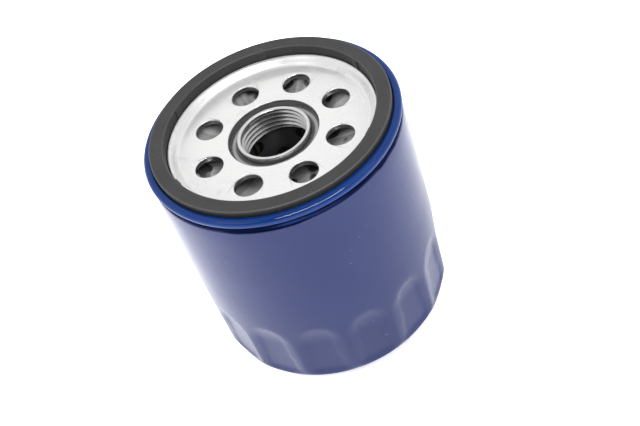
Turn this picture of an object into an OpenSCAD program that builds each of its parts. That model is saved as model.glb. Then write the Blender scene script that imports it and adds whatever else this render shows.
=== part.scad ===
// Spin-on oil filter, threaded end up. All sizes in millimetres.
// The origin is the centre of the closed end, and +Z runs up the thread's axis.

/* [Can] */
// Height over the sealing gasket, from the closed end
overall_h = 77.5; // [74:0.5:90]
// Outer radius of the can's straight wall
can_r = 37.85; // [37.6:0.05:38.1]
// Outer radius of the can where the closed end's corner begins
can_foot_r = 37.6; // [37.2:0.1:37.8]
// Thickness of the can's steel
can_t = 0.45; // [0.4:0.05:0.5]
// Radius of the corner round the closed end
corner_r = 6; // [4:0.5:8]
// Radius of the recessed panel in the closed end
panel_r = 20; // [16:1:22]
// How far that panel is pressed in
panel_h = 1.4; // [0.8:0.2:2]

/* [Wrench flutes] */
// Number of flutes around the closed end
flute_count = 15; // [12:1:18]
// Height of the flutes' arched tops
flute_top = 27.5; // [24:0.5:32]
// Radius from the axis to a flute's flat, where it is full depth
flute_flat_r = 37; // [36.8:0.1:37.2]
// The same radius down at the closed end
flute_foot_r = 36.6; // [36.4:0.1:36.9]
// Width of a flute's flat
flute_w = 13.2; // [12:0.2:14]
// Angle of the first flute about the axis
flute_phase = 6.1; // [0:0.1:24]

/* [Rolled seam] */
// Outer radius of the rolled seam
seam_r = 38.2; // [38.2:0.05:38.5]
// Depth of the seam's top below the gasket's top
seam_drop = 1.7; // [1.2:0.1:2.2]
// Height of the rolled seam
seam_h = 2.5; // [2.3:0.1:3]

/* [Sealing gasket] */
// Outer radius of the gasket
gasket_r = 35.75; // [35.5:0.05:35.8]
// Inner radius of the gasket
gasket_in_r = 31.4; // [31.35:0.05:32]
// Thickness of the gasket along the axis
gasket_h = 5.7; // [5:0.1:6]
// Number of small lugs on the gasket's inner wall
lug_count = 6; // [4:1:8]
// Width of a lug
lug_w = 2.8; // [2:0.1:4]
// How far a lug stands off the inner wall
lug_proud = 0.55; // [0.3:0.05:0.8]

/* [Base plate] */
// Depth of the plate's flat face below the gasket's top
plate_drop = 5.5; // [5:0.1:6]
// Thickness of the plate
plate_t = 1.6; // [1.4:0.1:2]
// Radius of the raised lip beside the gasket
lip_r = 31.2; // [31:0.05:31.2]
// Depth of that lip below the gasket's top
lip_drop = 3.15; // [3:0.05:3.6]
// Depth of the groove round the threaded hub
groove_h = 3; // [2.6:0.1:3.2]
// Minor radius of the 13/16-16 thread
thread_r = 9.5; // [9.4:0.05:9.6]
// Height of the threaded collar below the flat face
collar_h = 7.5; // [7:0.1:8]
// Number of oil inlet holes
inlet_count = 8; // [6:1:8]
// Radius of an inlet hole
inlet_r = 4.2; // [3:0.1:4.4]
// Radius of the circle that the inlet holes are on
inlet_circle_r = 20.8; // [20.2:0.1:21.2]

/* [Filter element] */
// Number of paper pleats
pleat_count = 48; // [36:2:52]
// Outer radius of the pleats
pleat_r = 33; // [32:0.2:33]
// Inner radius of the pleats
pleat_in_r = 16.8; // [16.4:0.2:18]
// Outer radius of the perforated centre tube
tube_r = 15.1; // [14.9:0.1:15.3]
// Length of travel that the element has on its spring
float_travel = 1.5; // [1:0.1:2]

/* [Bypass valve] */
// Lift of the bypass poppet
bypass_lift = 2.5; // [1.5:0.1:3]
// Radius of the poppet's disc
poppet_r = 9; // [8.6:0.1:9.6]
// Turns of the bypass spring
bypass_turns = 5; // [4:1:6]

/* [Load spring] */
// Diameter of the spring's wire
load_wire = 1.8; // [1.4:0.1:2]
// Turns of the spring, its flat first turn included
load_turns = 3.5; // [3:0.25:4]

/* [Hidden] */
$fn = 96;
touch = 0.01;      // overshoot that keeps a cut from ending on a face
gap = 0.1;         // clearance between pieces that move past each other
guide_gap = 0.08;  // running clearance of the poppet's stem

plate_z = overall_h - plate_drop;
lip_z = overall_h - lip_drop;
gasket_z = overall_h - gasket_h;
seam_top = overall_h - seam_drop;
seam_foot = seam_top - seam_h;

// the five layers of the seam, counted inwards from its outer face
lid_t = 0.5;
hook_r = seam_r - lid_t;               // outer face of the can's hook
cover_r = hook_r - can_t + 0.05;       // outer face of the lid's inner hook
neck_r = cover_r - lid_t;              // outer face of the can's neck
chuck_r = neck_r - can_t - lid_t;      // inner face of the lid's wall
compound_t = 0.1;                      // film of compound in each end gap
bridge_t = 0.4;                        // can steel over the lid's inner hook
neck_top = seam_top - lid_t;
neck_foot = seam_foot - 3.6;

runout_h = 10;                         // height over which a flute's flat runs out upwards

lid_in_r = 29.8;                       // inner edge of the lid, under the plate's lip
flat_r = 28.3;                         // where the plate's flat face starts to rise
groove_in_r = 10.8;
groove_out_r = 13.65;
groove_r = (groove_out_r - groove_in_r) / 2;
groove_mid_r = (groove_out_r + groove_in_r) / 2;
collar_r = 11.9;
collar_z = plate_z - collar_h;
lead_in = 0.9;                         // depth of the chamfer into the thread

// filter element, from its open end down
cap_t = 0.4;
cap_r = 33.8;
cap_rim_h = 3;
open_cap_z = plate_z - 9.6;            // top face of the open end cap
closed_cap_z = 12;                     // underside of the closed end cap
glue_h = 1.2;
media_t = 0.6;
media_foot = closed_cap_z + cap_t + glue_h;
media_top = open_cap_z - cap_t - glue_h;
tube_t = 0.5;
tube_foot = closed_cap_z + cap_t;
tube_top = open_cap_z - cap_t;
perforation_r = 2.4;
perforation_rows = 7;
perforation_count = 6;
glue_in_r = tube_r;
glue_out_r = cap_r - cap_t;

// anti-drain valve
sleeve_t = 1.3;
sleeve_in_r = collar_r + gap;
sleeve_r = sleeve_in_r + sleeve_t;
sleeve_foot = open_cap_z + 1.2;
valve_lip_r = 27.9;
neck_in_r = sleeve_r + gap;            // collar of the open end cap round the sleeve
neck_h = float_travel + 1.3;           // stays round the sleeve when the element is down

// bypass valve
seat_z = tube_foot;
orifice_r = 7;
seat_lip_h = 0.9;
seat_r = 13.4;
seal_t = 0.5;
bypass_wire = 1;
bypass_coil_r = 5.5;
poppet_z = seat_z + seat_lip_h + seal_t + gap;
poppet_t = 1;
stem_r = 2;
cage_z = seat_z + cap_t;
cage_r = 13.1;
cage_t = 0.5;
cage_h = poppet_z + poppet_t - cage_z + (bypass_turns + 1) * bypass_wire + bypass_lift + 1.3 + cage_t;
window_w = 9;
window_h = 7;

// load spring between the closed end and the element
load_foot_r = 24;
load_top_r = 17;
coil_steps = 20;                       // rings of the wire in each turn
wire_sides = 8;

function arc(r, z, rad, from, to, steps) =
    [for (i = [0:steps]) let (a = from + (to - from) * i / steps) [r + rad * cos(a), z + rad * sin(a)]];
// half a cosine wave from one point to another, level at both ends
function ease(r0, z0, r1, z1, steps) =
    [for (i = [0:steps]) let (u = i / steps) [r0 + (r1 - r0) * u, z0 + (z1 - z0) * (1 - cos(180 * u)) / 2]];
// the same wave standing upright: level in z, eased in r
function ease_up(r0, z0, r1, z1, steps) =
    [for (i = [0:steps]) let (u = i / steps) [r0 + (r1 - r0) * (1 - cos(180 * u)) / 2, z0 + (z1 - z0) * u]];

// Outline of the can at a depth s inside its outer skin, from the axis out and up to height top.
function can_outline(s, top) = concat(
    [[0, panel_h + s]],
    ease(panel_r - 2, panel_h + s, panel_r + 2, s, 6),
    arc(can_foot_r - corner_r, corner_r, corner_r - s, -90, 0, 8),
    [[can_r - s, flute_top + 4]],
    ease_up(can_r - s, neck_foot, neck_r - s, seam_foot - 0.3, 6),
    [[neck_r - s, top], [0, top]]
);

// A flute's cutter: everything outside its floor, at a depth s inside the flute's outer skin.
module flute_cutter(s) {
    reach = can_r + 6;
    runout_z = flute_top - runout_h;
    half = runout_h / 2;
    rise = (can_r - flute_flat_r) / 4; // the lower half of the run-out climbs a quarter of the way
    past = flute_top + (reach - can_r + s) * half / (3 * rise);
    translate([0, flute_w / 2 + s, 0]) rotate([90, 0, 0])
        linear_extrude(flute_w + 2 * s)
            polygon([[reach, -2 - s], [flute_foot_r - s, -2 - s], [flute_flat_r - s, runout_z],
                [flute_flat_r + rise - s, runout_z + half], [reach, past]]);
}

module can_solid(s, top) {
    rotate_extrude() polygon(can_outline(s, top));
}

// The drawn can. Each flute has a panel behind it, joined to the wall before the flute is cut.
module can_shell() {
    color([0.10, 0.15, 0.45]) {
        difference() {
            union() {
                difference() {
                    can_solid(0, neck_top - compound_t);
                    can_solid(can_t, neck_top + 1);
                }
                for (i = [0:flute_count - 1])
                    rotate([0, 0, flute_phase + i * 360 / flute_count]) intersection() {
                        can_solid(can_t / 2, neck_foot);
                        flute_cutter(can_t);
                    }
            }
            for (i = [0:flute_count - 1])
                rotate([0, 0, flute_phase + i * 360 / flute_count]) flute_cutter(0);
        }
        // the can's edge, folded out and down inside the seam
        rotate_extrude() polygon([
            [neck_r - touch, neck_top - compound_t - bridge_t], [cover_r, neck_top - compound_t - bridge_t],
            [cover_r, seam_foot + lid_t + compound_t], [hook_r, seam_foot + lid_t + compound_t],
            [hook_r, neck_top - compound_t], [neck_r - touch, neck_top - compound_t]
        ]);
    }
}

module seaming_lid() {
    bead = 0.45;
    hook_top = neck_top - 2 * compound_t - bridge_t;
    color([0.08, 0.20, 0.60]) rotate_extrude() polygon(concat(
        [[lid_in_r, gasket_z - lid_t], [chuck_r + lid_t, gasket_z - lid_t],
            [chuck_r + lid_t, neck_top], [hook_r, neck_top],
            [hook_r, seam_foot + lid_t], [cover_r, seam_foot + lid_t],
            [cover_r, hook_top], [neck_r, hook_top], [neck_r, seam_foot]],
        arc(seam_r - bead, seam_foot + bead, bead, -90, 0, 4),
        arc(seam_r - bead, seam_top - bead, bead, 0, 90, 4),
        arc(chuck_r + bead, seam_top - bead, bead, 90, 180, 4),
        [[chuck_r, gasket_z], [lid_in_r, gasket_z]]
    ));
}

module seam_compound() {
    color([0.75, 0.72, 0.60]) rotate_extrude() {
        translate([neck_r, neck_top - compound_t]) square([hook_r - neck_r, compound_t]);
        translate([neck_r, neck_top - 2 * compound_t - bridge_t]) square([lid_t, compound_t]);
        translate([cover_r, seam_foot + lid_t]) square([hook_r - cover_r, compound_t]);
    }
}

module base_plate() {
    edge = 0.25;                       // rounding of the lip and of the groove's edges
    under = plate_z - plate_t;
    step_r = lid_in_r - gap;
    color([0.86, 0.86, 0.85]) difference() {
        rotate_extrude() polygon(concat(
            [[thread_r, collar_z + 0.4], [thread_r, plate_z - lead_in],
                [thread_r + lead_in, plate_z - 0.05], [groove_in_r - edge, plate_z],
                [groove_in_r, plate_z - edge]],
            arc(groove_mid_r, plate_z - groove_h + groove_r, groove_r, 180, 360, 10),
            [[groove_out_r, plate_z - edge], [groove_out_r + edge, plate_z]],
            ease(flat_r, plate_z, lip_r - edge, lip_z, 8),
            [[lip_r, lip_z - edge], [lip_r, gasket_z], [step_r, gasket_z], [step_r, under],
                [groove_out_r + plate_t, under], [groove_out_r + 0.9, under - 0.9],
                [groove_out_r + 0.8, under - 1.8], [groove_out_r, under - 2.35], [collar_r, under - 2.35],
                [collar_r, collar_z + 0.4], [collar_r - 0.4, collar_z], [thread_r + 0.4, collar_z]]
        ));
        for (i = [0:inlet_count - 1])
            rotate([0, 0, i * 360 / inlet_count]) translate([inlet_circle_r, 0, under - 1])
                cylinder(r = inlet_r, h = plate_t + 2);
    }
}

module gasket() {
    soft = 0.35;
    lug_top = overall_h - 0.4;
    lug_foot = lip_z + 0.15;
    color([0.20, 0.20, 0.20]) {
        rotate_extrude() polygon(concat(
            [[gasket_in_r, gasket_z], [gasket_r, gasket_z]],
            arc(gasket_r - soft, overall_h - soft, soft, 0, 90, 3),
            arc(gasket_in_r + soft, overall_h - soft, soft, 90, 180, 3)
        ));
        for (i = [0:lug_count - 1])
            rotate([0, 0, 24 + i * 360 / lug_count])
                translate([gasket_in_r - lug_proud, -lug_w / 2, lug_foot])
                    cube([lug_proud + 0.3, lug_w, lug_top - lug_foot]);
    }
}

module anti_drain_valve() {
    lip_top = plate_z - plate_t - gap;
    color([0.16, 0.16, 0.17]) rotate_extrude() polygon([
        [sleeve_in_r, sleeve_foot], [sleeve_r, sleeve_foot], [sleeve_r, open_cap_z + neck_h + gap],
        [sleeve_r + 1.6, open_cap_z + neck_h + gap], [22, lip_top - 2.7], [valve_lip_r - 0.5, lip_top - 1.1],
        [valve_lip_r, lip_top - 0.5], [valve_lip_r - 0.3, lip_top], [valve_lip_r - 1.1, lip_top - 0.1],
        [21.6, lip_top - 1.75], [sleeve_r + 2.4, lip_top - 3], [sleeve_r + 0.3, lip_top - 2.9],
        [sleeve_r - 0.3, lip_top - 2.4], [sleeve_in_r, lip_top - 2.4]
    ]);
}

// A stamped end cap with its outer rim turned over the pleats, which lie on its +Z side.
module cap_rim(hole_r) {
    rotate_extrude() polygon([
        [hole_r, 0], [cap_r - cap_t, 0], [cap_r, cap_t], [cap_r, cap_rim_h],
        [cap_r - cap_t, cap_rim_h], [cap_r - cap_t, cap_t], [hole_r, cap_t]
    ]);
}

module open_end_cap() {
    color([0.70, 0.71, 0.72]) {
        translate([0, 0, open_cap_z]) mirror([0, 0, 1]) cap_rim(neck_in_r);
        rotate_extrude() translate([neck_in_r, open_cap_z - cap_t]) square([cap_t, cap_t + neck_h]);
    }
}

module open_end_adhesive() {
    color([0.80, 0.30, 0.25]) rotate_extrude()
        translate([glue_in_r, media_top]) square([glue_out_r - glue_in_r, glue_h]);
}

module closed_end_adhesive() {
    color([0.80, 0.30, 0.25]) rotate_extrude()
        translate([glue_in_r, media_foot - glue_h]) square([glue_out_r - glue_in_r, glue_h]);
}

// One side of the folded paper: fold tips of half-width tip at radius outer,
// and valleys of half-width valley at radius inner.
function pleat_side(outer, tip, inner, valley) = [for (i = [0:pleat_count - 1])
    let (a = i * 360 / pleat_count, b = a + 180 / pleat_count, da = tip / outer * 57.3, db = valley / inner * 57.3)
    each [[outer, a - da], [outer, a + da], [inner, b - db], [inner, b + db]]];
function to_xy(polar) = [for (p = polar) [p[0] * cos(p[1]), p[0] * sin(p[1])]];

module pleated_media() {
    fold = 0.12;
    color([0.85, 0.78, 0.55]) translate([0, 0, media_foot]) linear_extrude(media_top - media_foot)
        difference() {
            polygon(to_xy(pleat_side(pleat_r, media_t, pleat_in_r + media_t, fold)));
            polygon(to_xy(pleat_side(pleat_r - media_t, fold, pleat_in_r, media_t)));
        }
}

module media_seam_clip() {
    clip_t = 0.28;
    leg = 3;
    half_w = 0.8;
    color([0.70, 0.71, 0.72]) translate([0, 0, media_foot + 0.3])
        linear_extrude(media_top - media_foot - 0.6) difference() {
            translate([pleat_r - leg, -half_w - clip_t]) square([leg + 0.05 + clip_t, 2 * (half_w + clip_t)]);
            translate([pleat_r - leg - 1, -half_w]) square([leg + 1.05, 2 * half_w]);
        }
}

module centre_tube() {
    pitch = (tube_top - tube_foot) / (perforation_rows + 0.5);
    color([0.66, 0.67, 0.68]) difference() {
        translate([0, 0, tube_foot]) cylinder(r = tube_r, h = tube_top - tube_foot);
        translate([0, 0, tube_foot - 1]) cylinder(r = tube_r - tube_t, h = tube_top - tube_foot + 2);
        for (row = [0:perforation_rows - 1], i = [0:perforation_count - 1])
            rotate([0, 0, (i + row % 2 / 2) * 360 / perforation_count])
                translate([tube_r - 3, 0, tube_foot + (row + 0.75) * pitch])
                    rotate([0, 90, 0]) cylinder(r = perforation_r, h = 6, $fn = 32);
    }
}

module closed_end_cap() {
    color([0.70, 0.71, 0.72]) translate([0, 0, closed_cap_z]) cap_rim(orifice_r + 3);
}

module bypass_seat() {
    lip_w = 0.7;
    color([0.70, 0.71, 0.72]) rotate_extrude() polygon([
        [orifice_r, seat_z], [seat_r, seat_z], [seat_r, seat_z + cap_t], [orifice_r + lip_w + 0.3, seat_z + cap_t],
        [orifice_r + lip_w, seat_z + seat_lip_h], [orifice_r, seat_z + seat_lip_h]
    ]);
}

// A cup over the poppet, with windows for the oil and a guide hole for the stem.
module bypass_cage() {
    window_z = cage_z + 3.2;
    color([0.70, 0.71, 0.72]) difference() {
        translate([0, 0, cage_z]) cylinder(r = cage_r, h = cage_h);
        translate([0, 0, cage_z - touch]) cylinder(r = cage_r - cage_t, h = cage_h - cage_t + touch);
        translate([0, 0, cage_z]) cylinder(r = stem_r + guide_gap, h = cage_h + 1);
        for (i = [0:3]) rotate([0, 0, 45 + i * 90])
            translate([0, -window_w / 2, window_z]) cube([cage_r + 1, window_w, window_h]);
        for (i = [0:3]) rotate([0, 0, i * 90])
            translate([8.6, 0, cage_z]) cylinder(r = 2, h = cage_h + 1);
    }
}

module poppet_seal() {
    color([0.16, 0.16, 0.17]) translate([0, 0, poppet_z - seal_t]) difference() {
        cylinder(r = poppet_r, h = seal_t);
        translate([0, 0, -1]) cylinder(r = orifice_r - 1, h = seal_t + 2);
    }
}

module bypass_poppet() {
    stem_top = cage_z + cage_h + 1.2;
    color([0.30, 0.30, 0.32]) {
        translate([0, 0, poppet_z]) cylinder(r = poppet_r, h = poppet_t);
        translate([0, 0, poppet_z - seal_t]) cylinder(r = orifice_r - 1.1, h = seal_t + touch);
        translate([0, 0, poppet_z + poppet_t - touch])
            cylinder(r = stem_r, h = stem_top - poppet_z - poppet_t + touch);
    }
}

// A wire wound on a path, given as one point and one heading in each ring's plane.
module coil(path, wire_r) {
    n = len(path);
    rings = [for (p = path, k = [0:wire_sides - 1]) let (a = k * 360 / wire_sides)
        [(p[0] + wire_r * cos(a)) * cos(p[1]), (p[0] + wire_r * cos(a)) * sin(p[1]), p[2] + wire_r * sin(a)]];
    sides = [for (i = [0:n - 2], k = [0:wire_sides - 1]) let (m = (k + 1) % wire_sides)
        [i * wire_sides + k, (i + 1) * wire_sides + k, (i + 1) * wire_sides + m, i * wire_sides + m]];
    ends = [[for (k = [0:wire_sides - 1]) k],
        [for (k = [0:wire_sides - 1]) n * wire_sides - 1 - k]];
    polyhedron(points = rings, faces = concat(sides, ends));
}

module bypass_spring() {
    low = poppet_z + poppet_t + bypass_wire / 2 + gap / 2;
    high = cage_z + cage_h - cage_t - bypass_wire / 2 - gap / 2;
    steps = bypass_turns * coil_steps;
    color([0.55, 0.56, 0.58])
        coil([for (i = [0:steps]) [bypass_coil_r, 360 * i / coil_steps, low + (high - low) * i / steps]],
            bypass_wire / 2);
}

module load_spring() {
    low = can_t + load_wire / 2 + gap / 2;
    high = closed_cap_z - load_wire / 2 - gap / 2;
    steps = load_turns * coil_steps;
    rise = steps - coil_steps;         // steps after the flat first turn
    color([0.55, 0.56, 0.58])
        coil([for (i = [0:steps]) let (u = max(0, i - coil_steps) / rise)
            [load_foot_r + (load_top_r - load_foot_r) * i / steps, 360 * i / coil_steps, low + (high - low) * u]],
            load_wire / 2);
}

can_shell();
seaming_lid();
seam_compound();
base_plate();
gasket();
anti_drain_valve();
open_end_cap();
open_end_adhesive();
pleated_media();
media_seam_clip();
centre_tube();
closed_end_adhesive();
closed_end_cap();
bypass_seat();
bypass_cage();
poppet_seal();
bypass_poppet();
bypass_spring();
load_spring();
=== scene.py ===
from math import atan2, cos, hypot, pi, radians, sin, sqrt
import bmesh
import bpy
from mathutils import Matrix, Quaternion, Vector


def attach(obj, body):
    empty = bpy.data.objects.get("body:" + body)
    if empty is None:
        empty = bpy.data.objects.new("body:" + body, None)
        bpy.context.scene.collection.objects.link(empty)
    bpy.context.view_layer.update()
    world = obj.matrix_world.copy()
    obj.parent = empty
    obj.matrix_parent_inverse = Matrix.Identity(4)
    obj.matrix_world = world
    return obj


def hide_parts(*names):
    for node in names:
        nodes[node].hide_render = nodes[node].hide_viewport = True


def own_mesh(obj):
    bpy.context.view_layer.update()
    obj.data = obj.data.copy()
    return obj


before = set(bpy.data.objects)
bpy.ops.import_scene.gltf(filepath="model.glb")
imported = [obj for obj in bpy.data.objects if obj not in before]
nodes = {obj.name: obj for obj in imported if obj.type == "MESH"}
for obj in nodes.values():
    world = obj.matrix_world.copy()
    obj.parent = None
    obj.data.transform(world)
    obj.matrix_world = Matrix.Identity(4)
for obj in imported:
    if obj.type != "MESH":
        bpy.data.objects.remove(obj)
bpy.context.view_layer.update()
mm = 0.001
print("frame loaded:", len(nodes), "nodes")


# working in edit mode

def clearSelection():
    if bpy.context.object and bpy.context.object.mode != "OBJECT":
        bpy.ops.object.mode_set(mode="OBJECT")
    bpy.ops.object.select_all(action="DESELECT")


def pick(kind, test):
    # selects the vertices, edges or faces of the mesh being edited that pass the test
    bpy.ops.mesh.select_mode(type=kind)
    bpy.ops.mesh.select_all(action="DESELECT")
    mesh = bpy.context.object.data
    shape = bmesh.from_edit_mesh(mesh)
    parts = {"VERT": shape.verts, "EDGE": shape.edges, "FACE": shape.faces}[kind]
    for part in parts:
        if test(part):
            part.select_set(True)
    shape.select_flush_mode()
    bmesh.update_edit_mesh(mesh)


def radiusOf(vert):
    return hypot(vert.co.x, vert.co.y) / mm


def heightOf(vert):
    return vert.co.z / mm


def ring(radius, z, count):
    # a circle that is the start of a turned piece, left in edit mode
    clearSelection()
    bpy.ops.mesh.primitive_circle_add(vertices=count, radius=radius * mm, location=(0, 0, z * mm))
    bpy.ops.object.transform_apply(location=True, rotation=False, scale=False)
    bpy.ops.object.mode_set(mode="EDIT")
    bpy.ops.mesh.select_all(action="SELECT")
    return bpy.context.object


def drawRings(radius, z, outline):
    # extrudes the selected ring from outline point to outline point
    for nextRadius, nextZ in outline:
        bpy.ops.mesh.extrude_edges_move(TRANSFORM_OT_translate={"value": (0, 0, (nextZ - z) * mm)})
        if abs(nextRadius - radius) > 1e-9:
            grow = nextRadius / radius
            bpy.ops.transform.resize(value=(grow, grow, 1), center_override=(0, 0, nextZ * mm))
        radius, z = nextRadius, nextZ


def turned(name, outline, count=192, closed=True):
    # a lathe piece: a ring taken round its outline, and back to its start when it is closed
    piece = ring(outline[0][0], outline[0][1], count)
    drawRings(outline[0][0], outline[0][1], outline[1:] + (outline[:1] if closed else []))
    tidyMesh()
    piece.name = name
    return piece


def tidyMesh(merge=0.002):
    bpy.ops.mesh.select_all(action="SELECT")
    bpy.ops.mesh.remove_doubles(threshold=merge * mm)
    bpy.ops.mesh.select_all(action="SELECT")
    bpy.ops.mesh.normals_make_consistent(inside=False)
    bpy.ops.object.mode_set(mode="OBJECT")


def applyModifier(piece, kind, **settings):
    bpy.context.view_layer.objects.active = piece
    modifier = piece.modifiers.new(kind.title(), kind)
    for key, value in settings.items():
        setattr(modifier, key, value)
    bpy.ops.object.modifier_apply(modifier=modifier.name)


def softShade(piece, angle=35):
    clearSelection()
    piece.select_set(True)
    bpy.context.view_layer.objects.active = piece
    bpy.ops.object.shade_smooth_by_angle(angle=radians(angle))


def finishPiece(piece, body, node, material, angle=35):
    softShade(piece, angle)
    piece.data.name = piece.name
    piece.data.materials.clear()
    piece.data.materials.append(material)
    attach(piece, body)
    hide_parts(node)


def arc(r, z, size, start, end, steps):
    # points on an arc round (r, z), angles in degrees from the outward direction
    turns = [radians(start + (end - start) * i / steps) for i in range(steps + 1)]
    return [(r + size * cos(a), z + size * sin(a)) for a in turns]


def ease(r0, z0, r1, z1, steps, upright=False):
    # half a wave between two points: level at both ends, or upright at both ends
    points = []
    for i in range(steps + 1):
        u = i / steps
        soft = (1 - cos(pi * u)) / 2
        across, along = (soft, u) if upright else (u, soft)
        points.append((r0 + (r1 - r0) * across, z0 + (z1 - z0) * along))
    return points


# shader effects that several finishes share

def newEffect(name, inputs, outputs):
    group = bpy.data.node_groups.new(name, "ShaderNodeTree")
    for label, kind, value in inputs:
        socket = group.interface.new_socket(name=label, in_out="INPUT", socket_type="NodeSocket" + kind)
        if value is not None:
            socket.default_value = value
    for label, kind in outputs:
        group.interface.new_socket(name=label, in_out="OUTPUT", socket_type="NodeSocket" + kind)
    return group, group.nodes.new("NodeGroupInput"), group.nodes.new("NodeGroupOutput")


def addNode(tree, kind, **settings):
    node = tree.nodes.new("ShaderNode" + kind)
    for key, value in settings.items():
        setattr(node, key, value)
    return node


def feed(tree, socket, value):
    # a number or a colour is set on the socket, another node's output is linked to it
    if isinstance(value, (int, float)):
        socket.default_value = value
    elif isinstance(value, tuple):
        socket.default_value = (*value, 1.0)
    else:
        tree.links.new(value, socket)


def mathNode(tree, operation, first, second=None):
    node = addNode(tree, "Math", operation=operation)
    feed(tree, node.inputs[0], first)
    if second is not None:
        feed(tree, node.inputs[1], second)
    return node.outputs[0]


def times(tree, first, second):
    return mathNode(tree, "MULTIPLY", first, second)


def plus(tree, first, second):
    return mathNode(tree, "ADD", first, second)


def minus(tree, first, second):
    return mathNode(tree, "SUBTRACT", first, second)


def rampNode(tree, source, low, high, toLow=0.0, toHigh=1.0):
    node = addNode(tree, "MapRange", interpolation_type="SMOOTHSTEP")
    for label, value in (("From Min", low), ("From Max", high), ("To Min", toLow), ("To Max", toHigh)):
        feed(tree, node.inputs[label], value)
    tree.links.new(source, node.inputs["Value"])
    return node.outputs["Result"]


def noiseNode(tree, vector, scale, detail=3.0, roughness=0.55, distortion=0.0):
    node = addNode(tree, "TexNoise")
    node.inputs["Detail"].default_value = detail
    node.inputs["Roughness"].default_value = roughness
    node.inputs["Distortion"].default_value = distortion
    feed(tree, node.inputs["Scale"], scale)
    tree.links.new(vector, node.inputs["Vector"])
    return node.outputs["Fac"]


def stretched(tree, vector, scale, turn=(0.0, 0.0, 0.0)):
    # the same coordinates drawn out along some directions
    node = addNode(tree, "Mapping")
    node.inputs["Scale"].default_value = scale
    node.inputs["Rotation"].default_value = turn
    tree.links.new(vector, node.inputs["Vector"])
    return node.outputs["Vector"]


def makeGrainEffect():
    # fine surface grain and a slow mottle over it
    group, enter, leave = newEffect("fineGrain",
        [("Vector", "Vector", None), ("Grain Scale", "Float", 2000.0), ("Mottle Scale", "Float", 90.0)],
        [("Grain", "Float"), ("Mottle", "Float")])
    grain = noiseNode(group, enter.outputs["Vector"], enter.outputs["Grain Scale"], 4.0, 0.6)
    mottle = noiseNode(group, enter.outputs["Vector"], enter.outputs["Mottle Scale"], 3.0, 0.5, 0.4)
    group.links.new(grain, leave.inputs["Grain"])
    group.links.new(rampNode(group, mottle, 0.3, 0.7), leave.inputs["Mottle"])
    return group


def makeDustEffect():
    # small specks, gathered in patches
    patchScale = 70.0
    patchRange = (0.42, 0.68)
    speckEdge = 0.004
    group, enter, leave = newEffect("dustSpecks",
        [("Vector", "Vector", None), ("Scale", "Float", 420.0), ("Size", "Float", 0.12)],
        [("Mask", "Float")])
    cells = addNode(group, "TexVoronoi", feature="F1")
    group.links.new(enter.outputs["Vector"], cells.inputs["Vector"])
    group.links.new(enter.outputs["Scale"], cells.inputs["Scale"])
    patches = noiseNode(group, enter.outputs["Vector"], patchScale, 2.0)
    size = times(group, enter.outputs["Size"], rampNode(group, patches, *patchRange))
    inner = times(group, size, 0.5)
    speck = rampNode(group, cells.outputs["Distance"], inner, plus(group, size, speckEdge), 1.0, 0.0)
    group.links.new(speck, leave.inputs["Mask"])
    return group


def makeScuffEffect():
    # fine hairline scuffs along one direction, broken up into short lengths
    drawnOut = dict(scale=(1.0, 0.07, 0.5), turn=(0.3, 0.5, 0.8))
    patchScale = 60.0
    fullCover = 0.8
    noCover = 0.72
    lineRange = (0.6, 0.7)
    group, enter, leave = newEffect("hairlineScuffs",
        [("Vector", "Vector", None), ("Scale", "Float", 300.0), ("Cover", "Float", 0.3)],
        [("Mask", "Float")])
    thin = stretched(group, enter.outputs["Vector"], **drawnOut)
    lines = noiseNode(group, thin, enter.outputs["Scale"], 5.0, 0.7)
    patches = noiseNode(group, enter.outputs["Vector"], patchScale, 3.0, 0.6)
    start = minus(group, noCover, times(group, enter.outputs["Cover"], 0.4))
    kept = rampNode(group, patches, start, fullCover)
    group.links.new(times(group, rampNode(group, lines, *lineRange), kept), leave.inputs["Mask"])
    return group


def makeTurnedEffect():
    # radius and height in millimetres about the axis, and a vector that follows the turning
    inMillimetres = 1000.0
    group, enter, leave = newEffect("turnedPlace", [("Vector", "Vector", None)],
        [("Radius", "Float"), ("Height", "Float"), ("Around", "Vector")])
    apart = addNode(group, "SeparateXYZ")
    group.links.new(enter.outputs["Vector"], apart.inputs[0])
    x = apart.outputs["X"]
    y = apart.outputs["Y"]
    square = plus(group, times(group, x, x), times(group, y, y))
    radius = times(group, mathNode(group, "SQRT", square), inMillimetres)
    angle = mathNode(group, "ARCTAN2", y, x)
    height = times(group, apart.outputs["Z"], inMillimetres)
    around = addNode(group, "CombineXYZ")
    group.links.new(mathNode(group, "SINE", angle), around.inputs["X"])
    group.links.new(mathNode(group, "COSINE", angle), around.inputs["Y"])
    group.links.new(plus(group, radius, height), around.inputs["Z"])
    group.links.new(radius, leave.inputs["Radius"])
    group.links.new(height, leave.inputs["Height"])
    group.links.new(around.outputs[0], leave.inputs["Around"])
    return group


fineGrain = makeGrainEffect()
dustSpecks = makeDustEffect()
hairlineScuffs = makeScuffEffect()
turnedPlace = makeTurnedEffect()
print("shader effects made")

mixSockets = dict(factor=0, first=6, second=7, result=2)  # of a Mix node that mixes colours


def newFinish(name, **sockets):
    material = bpy.data.materials.new(name)
    material.use_nodes = True
    tree = material.node_tree
    tree.nodes.clear()
    shader = tree.nodes.new("ShaderNodeBsdfPrincipled")
    output = tree.nodes.new("ShaderNodeOutputMaterial")
    tree.links.new(shader.outputs[0], output.inputs["Surface"])
    for label, value in sockets.items():
        shader.inputs[label].default_value = value
    place = tree.nodes.new("ShaderNodeTexCoord").outputs["Object"]
    return material, tree, shader, place


def useEffect(tree, group, place, **values):
    node = tree.nodes.new("ShaderNodeGroup")
    node.node_tree = group
    tree.links.new(place, node.inputs["Vector"])
    for label, value in values.items():
        node.inputs[label].default_value = value
    return node.outputs


def grainAt(tree, place, grainScale, mottleScale):
    return useEffect(tree, fineGrain, place, **{"Grain Scale": grainScale, "Mottle Scale": mottleScale})


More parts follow.
